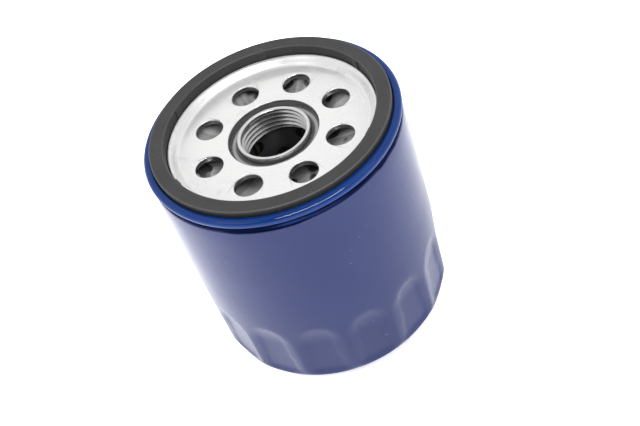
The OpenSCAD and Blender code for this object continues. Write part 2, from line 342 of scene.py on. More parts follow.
def blendColours(tree, mask, first, second):
    node = addNode(tree, "Mix", data_type="RGBA")
    feed(tree, node.inputs[mixSockets["first"]], first)
    feed(tree, node.inputs[mixSockets["second"]], second)
    feed(tree, node.inputs[mixSockets["factor"]], mask)
    return node.outputs[mixSockets["result"]]


def tint(tree, tone, mask, amount, colour):
    # lays a colour over the tone where the mask is, as strongly as amount
    return blendColours(tree, times(tree, mask, amount), tone, colour)


def bumpFrom(tree, shader, height, strength, distance):
    bump = addNode(tree, "Bump")
    bump.inputs["Strength"].default_value = strength
    bump.inputs["Distance"].default_value = distance
    tree.links.new(height, bump.inputs["Height"])
    tree.links.new(bump.outputs["Normal"], shader.inputs["Normal"])


enamel = dict(grain=700.0, mottle=45.0, scuffScale=260.0, scuffCover=0.25, scuffColour=(0.30, 0.34, 0.48),
    scuffRough=0.2, dustScale=330.0, dustSize=0.05, dustColour=(0.62, 0.64, 0.70), glossRange=0.03,
    neckShadeFade=0.7, neckShadeWander=0.25, neckShadeAmount=0.95, neckShadeColour=(0.002, 0.006, 0.030), peelDepth=0.0001)


def enamelFinish(name, colours, gloss, peel, wear, neck=None, **shine):
    # stoved blue enamel: slight orange peel, a slow change of tone, hairline scuffs and dust, and painted
    # shade under the rolled seam where neck is given
    e = enamel
    material, tree, shader, place = newFinish(name, **shine)
    grain = grainAt(tree, place, e["grain"], e["mottle"])
    scuffs = useEffect(tree, hairlineScuffs, place, Scale=e["scuffScale"], Cover=e["scuffCover"])["Mask"]
    dust = useEffect(tree, dustSpecks, place, Scale=e["dustScale"], Size=e["dustSize"])["Mask"]
    tone = blendColours(tree, grain["Mottle"], *colours)
    tone = tint(tree, tone, scuffs, wear, e["scuffColour"])
    tone = tint(tree, tone, dust, wear * 2, e["dustColour"])
    uneven = rampNode(tree, grain["Mottle"], 0.0, 1.0, gloss - e["glossRange"], gloss + e["glossRange"])
    rough = plus(tree, uneven, times(tree, scuffs, e["scuffRough"]))
    if neck:
        # painted shade: a dark line, metallic too, where the wall runs in under the rolled seam
        height = useEffect(tree, turnedPlace, place)["Height"]
        wander = rampNode(tree, grain["Mottle"], 0.3, 0.7, -e["neckShadeWander"], e["neckShadeWander"])
        neckShade = rampNode(tree, plus(tree, height, wander), neck - e["neckShadeFade"], neck)
        tone = tint(tree, tone, neckShade, e["neckShadeAmount"], e["neckShadeColour"])
        tree.links.new(times(tree, neckShade, e["neckShadeAmount"]), shader.inputs["Metallic"])
    tree.links.new(tone, shader.inputs["Base Color"])
    tree.links.new(rough, shader.inputs["Roughness"])
    bumpFrom(tree, shader, grain["Grain"], peel, e["peelDepth"])
    return material


rubber = dict(level=0.45, grain=2600.0, mottle=140.0, dustScale=520.0, dustSize=0.10, dustAmount=0.45,
    dustColour=(0.42, 0.41, 0.39), rubbedColour=(0.36, 0.36, 0.36), sideShadeAmount=0.8,
    sideShadeColour=(0.002, 0.002, 0.003), streakStretch=(7.0, 7.0, 0.0), sheenStreakAmount=0.7, patchScale=115.0,
    darkReflectionAmount=0.94, darkReflectionColour=(0.012, 0.012, 0.013), roughLow=0.06, roughHigh=0.08, bump=0.25,
    bumpDepth=0.00008)


def rubberFinish(name, colours, roughness, edges=None, paintedSheen=None):
    # moulded rubber: fine grain and dust, with a rubbed line, and painted shade on the outer side below the
    # top, where edges are named
    b = rubber
    material, tree, shader, place = newFinish(name, **{"Specular IOR Level": b["level"]})
    grain = grainAt(tree, place, b["grain"], b["mottle"])
    dust = useEffect(tree, dustSpecks, place, Scale=b["dustScale"], Size=b["dustSize"])["Mask"]
    tone = blendColours(tree, grain["Mottle"], *colours)
    if edges:
        turn = useEffect(tree, turnedPlace, place)
        top = edges["z"]
        outer = edges["radii"][1]
        rubbed = None
        for radius in edges["radii"]:
            distance = mathNode(tree, "ABSOLUTE", minus(tree, turn["Radius"], radius))
            near = rampNode(tree, distance, 0.05, 0.45, 1.0, 0.0)
            rubbed = near if rubbed is None else mathNode(tree, "MAXIMUM", rubbed, near)
        high = rampNode(tree, turn["Height"], top - 0.6, top - 0.1)
        broken = rampNode(tree, grain["Grain"], 0.35, 0.6, 0.35, 1.0)
        line = times(tree, times(tree, rubbed, high), broken)
        tone = tint(tree, tone, line, edges["amount"], b["rubbedColour"])
        # painted shade on the outer side below the top, in the gap between the gasket and the rim
        outside = rampNode(tree, turn["Radius"], outer - 0.1, outer + 0.1)
        side = times(tree, outside, rampNode(tree, turn["Height"], top - 0.5, top - 0.2, 1.0, 0.0))
        tone = tint(tree, tone, side, b["sideShadeAmount"], b["sideShadeColour"])
    if paintedSheen:
        # painted sheen: light streaks down the slope, and painted dark reflections in black patches
        turn = useEffect(tree, turnedPlace, place)
        spread = stretched(tree, turn["Around"], b["streakStretch"])
        sheenStreak = rampNode(tree, noiseNode(tree, spread, 1.0, 4.0, 0.7), 0.42, 0.68)
        tone = tint(tree, tone, sheenStreak, b["sheenStreakAmount"], (paintedSheen,) * 3)
        darkReflection = rampNode(tree, noiseNode(tree, place, b["patchScale"], 1.0), 0.54, 0.57)
        tone = tint(tree, tone, darkReflection, b["darkReflectionAmount"], b["darkReflectionColour"])
    tone = tint(tree, tone, dust, b["dustAmount"], b["dustColour"])
    tree.links.new(tone, shader.inputs["Base Color"])
    tree.links.new(rampNode(tree, grain["Grain"], 0.25, 0.75, roughness - b["roughLow"],
        roughness + b["roughHigh"]), shader.inputs["Roughness"])
    bumpFrom(tree, shader, grain["Grain"], b["bump"], b["bumpDepth"])
    return material


metal = dict(grain=1500.0, mottle=85.0, scuffScale=420.0, scuffCover=0.7, scuffAmount=0.35, scuffShade=0.55,
    roughRange=0.12, lineStretch=(1.0, 1.0, 5.0), lineScale=1.6, lineRough=0.02, grainShare=0.4, bump=0.12,
    bumpDepth=0.00005, sideMetallic=0.95, oilAndShadeColour=(0.20, 0.20, 0.205), smearScale=110.0, smearAmount=0.3,
    smearColour=(0.22, 0.22, 0.22), bendShadeAmount=0.3, bendShadeColour=(0.32, 0.32, 0.33), bandRough=0.15,
    lipAmount=0.35, deepShadeAmount=0.9, deepShadeNear=0.6)


def metalFinish(name, colours, roughness, smudge=0.5, circular=0.0, oilAndShade=None, metallic=1.0):
    # bright or rolled sheet metal: smudges, hairlines, and faint turned lines where circular is above nothing
    m = metal
    material, tree, shader, place = newFinish(name, Metallic=metallic)
    grain = grainAt(tree, place, m["grain"], m["mottle"])
    scuffs = useEffect(tree, hairlineScuffs, place, Scale=m["scuffScale"], Cover=m["scuffCover"])["Mask"]
    tone = blendColours(tree, times(tree, grain["Mottle"], smudge), *colours)
    tone = tint(tree, tone, scuffs, m["scuffAmount"], tuple(c * m["scuffShade"] for c in colours[1]))
    rough = plus(tree, rampNode(tree, grain["Mottle"], 0.0, 1.0, roughness, roughness + m["roughRange"]),
        times(tree, scuffs, m["roughRange"]))
    height = grain["Grain"]
    if circular:
        turn = useEffect(tree, turnedPlace, place)
        lines = noiseNode(tree, stretched(tree, turn["Around"], m["lineStretch"]), m["lineScale"], 5.0, 0.65)
        height = plus(tree, times(tree, height, m["grainShare"]), times(tree, lines, circular))
        rough = plus(tree, rough, rampNode(tree, lines, 0.3, 0.7, -m["lineRough"], m["lineRough"]))
        if oilAndShade:
            # random smears over the plate, painted shade along the bend beside the gasket, and painted shade
            # on the steel below the face
            hub = oilAndShade["hub"]
            face = oilAndShade["face"]
            # painted shade along the bend beside the gasket, broken up by the turned lines
            bend = rampNode(tree, turn["Radius"], *oilAndShade["bend"])
            bendShade = times(tree, bend, rampNode(tree, lines, 0.5, 0.7))
            shiny = rampNode(tree, turn["Height"], face - 0.4, face - 0.05, m["sideMetallic"], metallic)
            tree.links.new(shiny, shader.inputs["Metallic"])
            lip = rampNode(tree, turn["Radius"], hub + 0.1, hub + 0.3, m["lipAmount"], 0.0)
            tone = blendColours(tree, lip, tone, m["oilAndShadeColour"])
            # painted shade on the steel below the face: the groove, the bore and the plate's underside; the
            # same dark grey also tints the hub's oily mouth
            outward = rampNode(tree, turn["Radius"], hub, hub + 0.15, m["deepShadeNear"], 1.0)
            deep = times(tree, outward, rampNode(tree, turn["Height"], face - 0.6, face - 0.12, 1.0, 0.0))
            smears = rampNode(tree, noiseNode(tree, place, m["smearScale"], 3.0), 0.62, 0.72, 0.0,
                m["smearAmount"])
            tone = blendColours(tree, smears, tone, m["smearColour"])
            tone = tint(tree, tone, bendShade, m["bendShadeAmount"], m["bendShadeColour"])
            tone = tint(tree, tone, deep, m["deepShadeAmount"], m["oilAndShadeColour"])
            rough = plus(tree, rough, times(tree, bendShade, m["bandRough"]))
    tree.links.new(tone, shader.inputs["Base Color"])
    tree.links.new(rough, shader.inputs["Roughness"])
    bumpFrom(tree, shader, height, m["bump"], m["bumpDepth"])
    return material


spangle = dict(cells=190.0, grain=1800.0, mottle=60.0, roughRange=0.15, bump=0.1, bumpDepth=0.00005)


def spangledFinish(name, colours, roughness):
    # tinned sheet with large soft crystals
    s = spangle
    material, tree, shader, place = newFinish(name, Metallic=1.0)
    cells = addNode(tree, "TexVoronoi", feature="F1")
    cells.inputs["Scale"].default_value = s["cells"]
    tree.links.new(place, cells.inputs["Vector"])
    grain = grainAt(tree, place, s["grain"], s["mottle"])
    shade = addNode(tree, "SeparateColor")
    tree.links.new(cells.outputs["Color"], shade.inputs[0])
    tree.links.new(blendColours(tree, shade.outputs[0], *colours), shader.inputs["Base Color"])
    tree.links.new(rampNode(tree, shade.outputs[1], 0.0, 1.0, roughness, roughness + s["roughRange"]),
        shader.inputs["Roughness"])
    bumpFrom(tree, shader, grain["Grain"], s["bump"], s["bumpDepth"])
    return material


fibres = dict(level=0.2, sheen=0.15, stretch=(1.0, 1.0, 0.35), grain=3200.0, mottle=200.0,
    colours=((0.085, 0.06, 0.033), (0.065, 0.046, 0.025)), lineRate=2.4, lineAmount=0.3,
    lineColour=(0.05, 0.035, 0.02), bump=0.4, bumpDepth=0.0001)


def paperFinish(name):
    # resin-cured filter paper: fibres, and pressed lines across the pleats
    f = fibres
    material, tree, shader, place = newFinish(name, **{"Specular IOR Level": f["level"],
        "Sheen Weight": f["sheen"]})
    grain = grainAt(tree, stretched(tree, place, f["stretch"]), f["grain"], f["mottle"])
    tone = blendColours(tree, grain["Mottle"], *f["colours"])
    turn = useEffect(tree, turnedPlace, place)
    pressed = mathNode(tree, "SINE", times(tree, turn["Height"], f["lineRate"]))
    lines = rampNode(tree, pressed, 0.75, 1.0)
    tone = tint(tree, tone, lines, f["lineAmount"], f["lineColour"])
    tree.links.new(tone, shader.inputs["Base Color"])
    tree.links.new(rampNode(tree, grain["Grain"], 0.2, 0.8, 0.75, 0.95), shader.inputs["Roughness"])
    bumpFrom(tree, shader, minus(tree, grain["Grain"], lines), f["bump"], f["bumpDepth"])
    return material


cast = dict(grain=1100.0, mottle=160.0, pitScale=600.0, pitSize=0.25, pitAmount=0.5, pitShade=0.5,
    roughRange=0.06, bump=0.2, bumpDepth=0.0001)


def castFinish(name, colours, roughness, level=0.4):
    # poured adhesive, sealing compound or moulded plastic: soft mottle, a few pits
    c = cast
    material, tree, shader, place = newFinish(name, **{"Specular IOR Level": level})
    grain = grainAt(tree, place, c["grain"], c["mottle"])
    pits = useEffect(tree, dustSpecks, place, Scale=c["pitScale"], Size=c["pitSize"])["Mask"]
    tone = blendColours(tree, grain["Mottle"], *colours)
    tone = tint(tree, tone, pits, c["pitAmount"], tuple(part * c["pitShade"] for part in colours[1]))
    tree.links.new(tone, shader.inputs["Base Color"])
    tree.links.new(rampNode(tree, grain["Grain"], 0.25, 0.75, roughness - c["roughRange"],
        roughness + c["roughRange"]), shader.inputs["Roughness"])
    bumpFrom(tree, shader, minus(tree, grain["Grain"], pits), c["bump"], c["bumpDepth"])
    return material


# the neck height marks where the can's painted shade under the seam ends
canBlue = enamelFinish("canEnamel", ((0.013, 0.027, 0.138), (0.010, 0.022, 0.124)), gloss=0.22, peel=0.06,
    wear=0.2, neck=71.7, **{"Specular IOR Level": 0.40})
rimBlue = enamelFinish("rimEnamel", ((0.0025, 0.038, 0.205), (0.002, 0.032, 0.180)), gloss=0.14, peel=0.03,
    wear=0.05, **{"Specular IOR Level": 0.02, "Coat Weight": 0.32, "Coat Roughness": 0.03})
gasketBlack = rubberFinish("gasketRubber", ((0.014, 0.014, 0.014), (0.020, 0.020, 0.020)), 0.62,
    edges=dict(radii=(31.5, 35.6), z=77.5, amount=0.12))
# the valve's light streaks are painted sheen and its black patches painted dark reflections
valveBlack = rubberFinish("valveRubber", ((0.18, 0.18, 0.185), (0.28, 0.28, 0.28)), 0.28, paintedSheen=0.60)
sealBlack = rubberFinish("sealRubber", ((0.03, 0.03, 0.03), (0.04, 0.04, 0.04)), 0.5)
# the plate's settings put painted shade on its bend and below its face
plateMetal = metalFinish("platedSteel", ((0.70, 0.70, 0.695), (0.655, 0.655, 0.66)), 0.17, circular=0.05,
    oilAndShade=dict(bend=(27.5, 29.5), face=72.0, hub=10.6), metallic=0.3)
tubeMetal = metalFinish("tubeSteel", ((0.10, 0.10, 0.105), (0.07, 0.07, 0.075)), 0.45, smudge=0.8)
springMetal = metalFinish("springSteel", ((0.42, 0.42, 0.43), (0.30, 0.30, 0.32)), 0.30, smudge=0.8)
capMetal = spangledFinish("tinnedSteel", ((0.74, 0.75, 0.76), (0.56, 0.58, 0.60)), 0.25)
paper = paperFinish("filterPaper")
adhesive = castFinish("capAdhesive", ((0.50, 0.10, 0.06), (0.40, 0.07, 0.05)), 0.45)
compound = castFinish("sealingCompound", ((0.56, 0.54, 0.46), (0.47, 0.45, 0.38)), 0.6)
nylon = castFinish("valveNylon", ((0.035, 0.036, 0.042), (0.050, 0.050, 0.056)), 0.38, 0.5)
print("finishes made")


# can, with lengths in millimetres and angles in degrees, as in the other dictionaries
can = dict(wallRadius=37.85, footRadius=37.6, wall=0.45, cornerRadius=6.0, panelRadius=20.0, panelRise=1.4,
    fluteCount=15, fluteTop=27.5, fluteFlat=37.0, fluteFoot=36.6, runoutHeight=10.0, runoutRadius=59.0,
    scoop=0.4, phase=6.1, softness=3, neckFoot=71.0, neckTop=73.0, neckRadius=36.8, top=75.2, perFlute=24,
    pressedWall=4, wallSteps=34, cornerSteps=14, creaseShare=0.6, stepHalf=2, stepSteps=8,
    panelRings=(14, 9, 4, 0.6), riseSteps=8, neckSteps=10)
near = 0.01  # millimetres within which two heights are the same


def fluteFloor(z):
    # distance of a flute's floor from the axis at height z
    start = can["fluteTop"] - can["runoutHeight"]
    if z <= start:
        return can["fluteFoot"] + (can["fluteFlat"] - can["fluteFoot"]) * (z + 1) / (start + 1)
    bend = can["runoutRadius"]
    return can["fluteFlat"] + bend - sqrt(bend ** 2 - (z - start) ** 2)


def makeCan():
    around = can["perFlute"] * can["fluteCount"]
    zTop = can["fluteTop"] + can["pressedWall"]
    piece = ring(can["wallRadius"], zTop, around)
    # one flute's share of the ring, centred on +X
    pick("VERT", lambda v: abs(atan2(v.co.y, v.co.x)) > radians(180 / can["fluteCount"] + 0.01))
    bpy.ops.mesh.delete(type="VERT")
    bpy.ops.mesh.select_all(action="SELECT")
    corner = can["cornerRadius"]
    middle = can["footRadius"] - corner
    wall = []
    steps = can["wallSteps"]
    for i in range(1, steps + 1):
        z = zTop + (corner - zTop) * i / steps
        wall.append((can["wallRadius"] + (can["footRadius"] - can["wallRadius"]) * i / steps, z))
    bottom = arc(middle, corner, corner, 0, -90, can["cornerSteps"])[1:]
    drawRings(can["wallRadius"], zTop, wall + bottom)
    # press the flute in, ring by ring, towards its floor
    for radius, z in wall + bottom:
        floor = fluteFloor(z)
        if floor < radius:
            ridge = sqrt(radius ** 2 - floor ** 2)
            pick("VERT", lambda v: abs(heightOf(v) - z) < near and v.co.x > floor * mm)
            bpy.ops.transform.resize(value=(-can["scoop"], 1, 1), center_override=(floor * mm, 0, 0))
            crease = can["creaseShare"] * ridge
            pick("VERT", lambda v: abs(heightOf(v) - z) < near and abs(v.co.y / mm) < crease)
            bpy.ops.transform.translate(value=(-can["scoop"] * (radius - floor) * mm, 0, 0))
    # one flute becomes all of them
    bpy.ops.mesh.select_mode(type="VERT")
    bpy.ops.mesh.select_all(action="SELECT")
    bpy.ops.mesh.spin(steps=can["fluteCount"], angle=2 * pi, dupli=True, center=(0, 0, 0), axis=(0, 0, 1))
    bpy.ops.mesh.select_all(action="SELECT")
    bpy.ops.mesh.remove_doubles(threshold=0.02 * mm)
    # the pressed edges are soft
    pick("VERT", lambda v: 0.4 < heightOf(v) < zTop - 0.5)
    bpy.ops.mesh.vertices_smooth(factor=0.5, repeat=can["softness"])
    # closed end: in over the flat ring, up the step and across the panel
    pick("EDGE", lambda e: e.is_boundary and heightOf(e.verts[0]) < 0.1)
    half = can["stepHalf"]
    step = ease(can["panelRadius"] + half, 0, can["panelRadius"] - half, can["panelRise"], can["stepSteps"])
    panel = [(r, can["panelRise"]) for r in can["panelRings"]]
    flat = [(middle - (middle - can["panelRadius"] - half) * i / 3, 0) for i in (1, 2)]
    drawRings(middle, 0, flat + step + panel)
    bpy.ops.mesh.edge_face_add()
    # wall, shoulder and neck
    pick("EDGE", lambda e: e.is_boundary and heightOf(e.verts[0]) > 10)
    steps = can["riseSteps"]
    rise = [(can["wallRadius"], zTop + (can["neckFoot"] - zTop) * i / steps) for i in range(1, steps + 1)]
    neck = ease(can["wallRadius"], can["neckFoot"], can["neckRadius"], can["neckTop"], can["neckSteps"],
        upright=True)[1:]
    drawRings(can["wallRadius"], zTop, rise + neck + [(can["neckRadius"], can["top"])])
    tidyMesh()
    piece.name = "enamelledCan"
    piece.rotation_euler = (0, 0, radians(can["phase"]))
    bpy.ops.object.transform_apply(location=True, rotation=True, scale=False)
    applyModifier(piece, "SOLIDIFY", thickness=can["wall"] * mm, offset=-1, use_even_offset=True)
    finishPiece(piece, "housing", "can_shell", canBlue, 50)


makeCan()
print("can made")


# seaming lid, rolled over the can's edge
rim = dict(outerRadius=38.2, top=75.8, foot=73.3, shoulder=1.25, hem=0.35, hemInset=0.3, belly=(0.12, 0.75),
    sheet=0.5, wallRadius=35.85, floor=71.8, innerRadius=29.8, bend=0.4, crown=0.5, footStep=0.05,
    footRadii=(36.85, 36.95), count=240)


def makeRim():
    outer = rim["outerRadius"]
    inner = rim["wallRadius"]
    top = rim["top"]
    foot = rim["foot"]
    sheet = rim["sheet"]
    floor = rim["floor"]
    bend = rim["bend"]
    crown = rim["crown"]
    hem = rim["hem"]
    stepFoot = foot + rim["footStep"]
    outline = [(rim["innerRadius"], floor - sheet), (inner + sheet - bend, floor - sheet)]
    outline += arc(inner + sheet - bend, floor - sheet + bend, bend, -90, 0, 4)[1:]
    outline += [(inner + sheet, stepFoot), (rim["footRadii"][0], stepFoot), (rim["footRadii"][1], foot)]
    outline += arc(outer - rim["hemInset"] - hem, foot + hem, hem, -90, -10, 6)
    outline += [(outer - rim["belly"][0], foot + rim["belly"][1])]
    outline += arc(outer - rim["shoulder"], top - rim["shoulder"], rim["shoulder"], 0, 90, 14)
    outline += arc(inner + crown, top - crown, crown, 90, 180, 7)
    outline += [(inner, floor + bend)]
    outline += arc(inner - bend, floor + bend, bend, 0, -90, 4)[1:]
    outline += [(rim["innerRadius"], floor)]
    piece = turned("seamingLid", outline, rim["count"])
    finishPiece(piece, "housing", "seaming_lid", rimBlue, 40)


makeRim()
print("rim made")


# gasket
gasket = dict(innerRadius=31.4, outerRadius=35.75, foot=71.8, top=77.5, edge=0.3, footEdge=0.2,
    waist=(74.5, 75.0, 75.5), waistDepth=0.06, dishHalf=0.9, dishEdge=0.02, dishDepth=0.06, count=240,
    lugCount=6, lugWidth=2.8, lugProud=0.4, lugRoot=0.5, lugFoot=74.5, lugTop=77.1, lugEdge=0.25,
    lugTaper=0.88, firstLug=24)


def makeGasket():
    g = gasket
    edge = g["edge"]
    mid = (g["innerRadius"] + g["outerRadius"]) / 2
    footEdge = g["footEdge"]
    low, middle, high = g["waist"]
    outline = [(g["innerRadius"] + footEdge, g["foot"]), (g["outerRadius"] - footEdge, g["foot"]),
        (g["outerRadius"], g["foot"] + footEdge), (g["outerRadius"], low),
        (g["outerRadius"] - g["waistDepth"], middle), (g["outerRadius"], high)]
    outline += arc(g["outerRadius"] - edge, g["top"] - edge, edge, 0, 90, 5)
    outline += [(mid + g["dishHalf"], g["top"] - g["dishEdge"]), (mid, g["top"] - g["dishDepth"]),
        (mid - g["dishHalf"], g["top"] - g["dishEdge"])]
    outline += arc(g["innerRadius"] + edge, g["top"] - edge, edge, 90, 180, 5)
    outline += [(g["innerRadius"], high), (g["innerRadius"], g["foot"] + footEdge)]
    piece = turned("sealingGasket", outline, g["count"])
    lugs = [makeLug()]
    for i in range(1, g["lugCount"]):
        clearSelection()
        lugs[0].select_set(True)
        bpy.context.view_layer.objects.active = lugs[0]
        bpy.ops.object.duplicate(linked=False)
        lugs.append(bpy.context.object)
        lugs[-1].rotation_euler = (0, 0, radians(g["firstLug"] + 360 * i / g["lugCount"]))
    lugs[0].rotation_euler = (0, 0, radians(g["firstLug"]))
    clearSelection()
    for part in lugs + [piece]:
        part.select_set(True)
    bpy.context.view_layer.objects.active = piece
    bpy.ops.object.transform_apply(location=True, rotation=True, scale=True)
    bpy.ops.object.join()
    finishPiece(piece, "housing", "gasket", gasketBlack, 40)


def makeLug():
    g = gasket
    clearSelection()
    height = g["lugTop"] - g["lugFoot"]
    x = g["innerRadius"] - g["lugProud"] / 2 + g["lugRoot"] / 2
    bpy.ops.mesh.primitive_cube_add(size=mm, location=(x * mm, 0, (g["lugFoot"] + height / 2) * mm))
    lug = bpy.context.object
    lug.scale = (g["lugProud"] + g["lugRoot"], g["lugWidth"], height)
    bpy.ops.object.transform_apply(location=True, rotation=False, scale=True)
    bpy.ops.object.mode_set(mode="EDIT")
    pick("EDGE", lambda e: all(v.co.x < (g["innerRadius"] - 0.2) * mm for v in e.verts))
    bpy.ops.mesh.bevel(offset=g["lugEdge"] * mm, segments=4)
    pick("FACE", lambda f: f.normal.z > 0.9)
    bpy.ops.transform.resize(value=(1, g["lugTaper"], 1), center_override=(x * mm, 0, g["lugTop"] * mm))
    tidyMesh()
    return lug


makeGasket()
print("gasket made")


# base plate with its thread
plate = dict(mouthRadius=9.8, mouthStart=0.85, mouthEnd=0.7, mouthSlope=0.05, mouthBend=0.35, face=72.0,
    thickness=1.6, flatRadius=28.3, flatRings=(15.0, 16.0, 25.6, 27.0), lipRadius=31.2, lipTop=74.35,
    lipEdge=0.3, grooveInner=10.8, grooveOuter=13.65, grooveDepth=3.0, grooveWall=1.0, hubEdge=0.12, edge=0.2,
    seat=71.8, seatRadius=29.7, underRings=(27.0, 15.4), skirt=((14.55, 0.9), (14.45, 1.8), (13.65, 2.35)),
    collarRadius=11.9, collarFoot=64.5, footEdge=(0.4, 0.5), holeCount=8, holeRadius=4.2, holeCircle=20.8,
    holeEdge=0.22, holeSides=64, count=240)
thread = dict(pitch=1.5875, crestRadius=9.5, rootRadius=10.32, crestFlat=0.22, rootFlat=0.25, wallRadius=10.9,
    foot=64.7, top=71.4, leadIn=0.3, leadRoom=0.15, steps=120)


def makePlate():
    p = plate
    face = p["face"]
    under = face - p["thickness"]
    edge = p["edge"]
    hubEdge = p["hubEdge"]
    bend = p["mouthBend"]
    lipEdge = p["lipEdge"]
    groove = (p["grooveOuter"] - p["grooveInner"]) / 2
    middle = (p["grooveOuter"] + p["grooveInner"]) / 2
    bore = thread["rootRadius"] + 0.12
    # up the bore, over the hub's rounded mouth and round the groove
    outline = [(bore, p["collarFoot"] + 0.1), (bore, face - p["mouthStart"]),
        (p["mouthRadius"] + p["mouthSlope"], face - p["mouthEnd"])]
    outline += arc(p["mouthRadius"] + bend, face - bend, bend, 180, 90, 6)
    outline += arc(p["grooveInner"] - hubEdge, face - hubEdge, hubEdge, 90, 20, 3)
    outline += [(p["grooveInner"], face - hubEdge - edge), (p["grooveInner"], face - p["grooveWall"])]
    outline += arc(middle, face - p["grooveDepth"] + groove, groove, 180, 360, 16)
    outline += [(p["grooveOuter"], face - p["grooveWall"])]
    outline += arc(p["grooveOuter"] + edge, face - edge, edge, 180, 90, 5)[1:]
    # across the face and up to the lip
    outline += [(r, face) for r in p["flatRings"]]
    outline += ease(p["flatRadius"], face, p["lipRadius"] - lipEdge, p["lipTop"], 14)
    outline += arc(p["lipRadius"] - lipEdge, p["lipTop"] - lipEdge, lipEdge, 90, 0, 4)[1:]
    # back under the plate, down the skirt and round the collar
    outline += [(p["lipRadius"], p["seat"]), (p["seatRadius"], p["seat"]), (p["seatRadius"], under)]
    outline += [(r, under) for r in p["underRings"]]
    outline += [(r, under - drop) for r, drop in p["skirt"]]
    inset, rise = p["footEdge"]
    outline += [(p["collarRadius"], under - p["skirt"][-1][1]), (p["collarRadius"], p["collarFoot"] + rise),
        (p["collarRadius"] - inset, p["collarFoot"]), (bore + 0.1, p["collarFoot"])]
    piece = turned("threadedPlate", outline, p["count"])
    cutHoles(piece)
    sleeve = makeThread()
    clearSelection()
    sleeve.select_set(True)
    piece.select_set(True)
    bpy.context.view_layer.objects.active = piece
    bpy.ops.object.join()
    finishPiece(piece, "housing", "base_plate", plateMetal, 32)


def cutHoles(piece):
    p = plate
    clearSelection()
    z = p["face"] - p["thickness"] / 2
    bpy.ops.mesh.primitive_cylinder_add(vertices=p["holeSides"], radius=p["holeRadius"] * mm,
        depth=(p["thickness"] + 2) * mm, location=(p["holeCircle"] * mm, 0, z * mm))
    punch = bpy.context.object
    bpy.ops.object.transform_apply(location=True, rotation=False, scale=False)
    bpy.ops.object.mode_set(mode="EDIT")
    bpy.ops.mesh.select_all(action="SELECT")
    bpy.ops.mesh.spin(steps=p["holeCount"], angle=2 * pi, dupli=True, center=(0, 0, 0), axis=(0, 0, 1))
    tidyMesh()
    applyModifier(piece, "BOOLEAN", operation="DIFFERENCE", object=punch, solver="EXACT")
    bpy.data.objects.remove(punch)
    clearSelection()
    piece.select_set(True)
    bpy.context.view_layer.objects.active = piece
    bpy.ops.object.mode_set(mode="EDIT")

    def onHoleEdge(edge):
        for v in edge.verts:
            if abs(heightOf(v) - p["face"]) > 2 * near:
                return False
            angle = round(atan2(v.co.y, v.co.x) / (2 * pi / p["holeCount"])) * 2 * pi / p["holeCount"]
            x = v.co.x / mm - p["holeCircle"] * cos(angle)
            y = v.co.y / mm - p["holeCircle"] * sin(angle)
            if abs(hypot(x, y) - p["holeRadius"]) > 2 * near:
                return False
        return True

    pick("EDGE", onHoleEdge)
    bpy.ops.mesh.bevel(offset=p["holeEdge"] * mm, segments=3)
    tidyMesh()


def makeThread():
    t = thread
    half = t["pitch"] / 2
    foot = t["foot"] - t["pitch"] - 0.5
    turns = int((t["top"] - foot) / t["pitch"]) + 2
    clearSelection()
    # one pitch of the thread's section, drawn from the plane's first corner
    bpy.ops.mesh.primitive_plane_add(size=mm, location=(0, 0, 0))
    piece = bpy.context.object
    bpy.ops.object.mode_set(mode="EDIT")
    pick("VERT", lambda v: v.co.x > 0 or v.co.y > 0)
    bpy.ops.mesh.delete(type="VERT")
    bpy.ops.mesh.select_all(action="SELECT")
    section = [(t["crestRadius"], 0), (t["crestRadius"], t["crestFlat"]),
        (t["rootRadius"], half - t["rootFlat"] / 2 + t["crestFlat"] / 2),
        (t["rootRadius"], half + t["rootFlat"] / 2 + t["crestFlat"] / 2), (t["crestRadius"], t["pitch"])]
    bpy.ops.transform.translate(value=((section[0][0] + 0.5) * mm, 0.5 * mm, foot * mm))
    for (r0, z0), (r1, z1) in zip(section, section[1:]):
        bpy.ops.mesh.extrude_vertices_move(
            TRANSFORM_OT_translate={"value": ((r1 - r0) * mm, 0, (z1 - z0) * mm)})
    bpy.ops.object.mode_set(mode="OBJECT")
    applyModifier(piece, "SCREW", axis="Z", steps=t["steps"], render_steps=t["steps"], iterations=turns,
        screw_offset=t["pitch"] * mm, angle=2 * pi, use_merge_vertices=True, merge_threshold=0.001 * mm,
        use_smooth_shade=True)
    bpy.ops.object.mode_set(mode="EDIT")
    bpy.ops.mesh.select_all(action="SELECT")
    bpy.ops.mesh.remove_doubles(threshold=0.002 * mm)
    # cut it flat at both ends and give it a wall
    for z, side in ((t["foot"], -1), (t["top"], 1)):
        bpy.ops.mesh.select_all(action="SELECT")
        bpy.ops.mesh.bisect(plane_co=(0, 0, z * mm), plane_no=(0, 0, side), clear_outer=True, threshold=1e-7)
    for z in (t["foot"], t["top"]):
        pick("EDGE", lambda e: e.is_boundary and abs(heightOf(e.verts[0]) - z) < near)
        bpy.ops.mesh.extrude_edges_move(TRANSFORM_OT_translate={"value": (0, 0, 0)})
        mesh = bmesh.from_edit_mesh(piece.data)
        for v in mesh.verts:
            if v.select:
                grow = t["wallRadius"] / radiusOf(v)
                v.co.x *= grow
                v.co.y *= grow
        bmesh.update_edit_mesh(piece.data)
    pick("EDGE", lambda e: e.is_boundary)
    bpy.ops.mesh.bridge_edge_loops()
    tidyMesh()
    piece.name = "threadSleeve"
    # the lead-in is a cone cut into the top turn
    clearSelection()
    deep = t["leadIn"] + 0.1
    wide = t["rootRadius"] + t["leadRoom"]
    bpy.ops.mesh.primitive_cone_add(vertices=t["steps"], radius1=(wide - deep) * mm, radius2=wide * mm,
        depth=deep * mm, location=(0, 0, (t["top"] + 0.1 - deep / 2) * mm))
    cone = bpy.context.object
    applyModifier(piece, "BOOLEAN", operation="DIFFERENCE", object=cone, solver="EXACT")
    bpy.data.objects.remove(cone)
    return piece


makePlate()
print("plate made")


